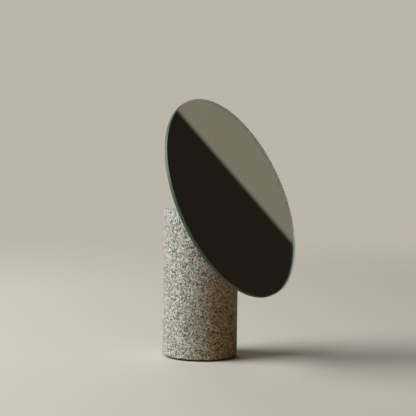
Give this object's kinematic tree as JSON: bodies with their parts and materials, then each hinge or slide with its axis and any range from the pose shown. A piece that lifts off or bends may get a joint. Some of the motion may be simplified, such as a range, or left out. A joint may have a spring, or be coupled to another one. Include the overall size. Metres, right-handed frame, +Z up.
{
  "type": "column table mirror",
  "caption": "Frameless round table mirror that swivels and tilts on top of a plain granite column with a flat rubber foot.",
  "frame": {"origin": "centre of the foot pad's underside, on the surface that the column stands on", "axes": "+Z up along the column's axis, which the mirror swivels about; the mirror faces -Y at rest, leaning back 23 degrees; X is level across the mirror"},
  "size_m": [0.2, 0.112, 0.2477],
  "materials": {
    "foot_rubber": "matte black rubber sheet",
    "granite": "fine-grained speckled granite, honed matte",
    "steel": "turned and brushed stainless steel",
    "bush_plastic": "natural acetal",
    "spring_steel": "blued spring steel",
    "zinc_steel": "bright zinc-plated steel",
    "fastener_steel": "satin stainless fasteners",
    "foam_tape": "closed-cell foam tape",
    "backing_film": "satin safety film over grey backing paint",
    "silver": "second-surface silvering",
    "glass": "clear float glass, its edge ground satin"
  },
  "bodies": {
    "column": {"granite_column": "granite", "foot_pad": "foot_rubber", "swivel_housing": "steel", "upper_bush": "bush_plastic", "lower_bush": "bush_plastic", "thrust_washer": "bush_plastic"},
    "fork": {"swivel_fork": "steel", "swivel_springs": "spring_steel", "swivel_washer": "spring_steel", "swivel_nut": "zinc_steel", "tilt_bolt": "fastener_steel", "tilt_springs": "spring_steel", "tilt_nut": "fastener_steel"},
    "mirror_head": {"mirror_glass": "glass", "silver_layer": "silver", "mirror_backing": "backing_film", "bond_pad": "foam_tape", "mirror_plate": "steel", "plate_screws": "fastener_steel", "tilt_arm": "steel", "friction_washers": "bush_plastic"}
  },
  "joints": [
    {"name": "swivel", "type": "hinge", "parent": "column", "child": "fork", "pos_m": [0, 0, 0.14], "axis": [0, 0, 1], "continuous": true},
    {"name": "tilt", "type": "hinge", "parent": "fork", "child": "mirror_head", "pos_m": [0, 0, 0.14], "axis": [-1, 0, 0], "range_deg": [-22, 40]}
  ]
}
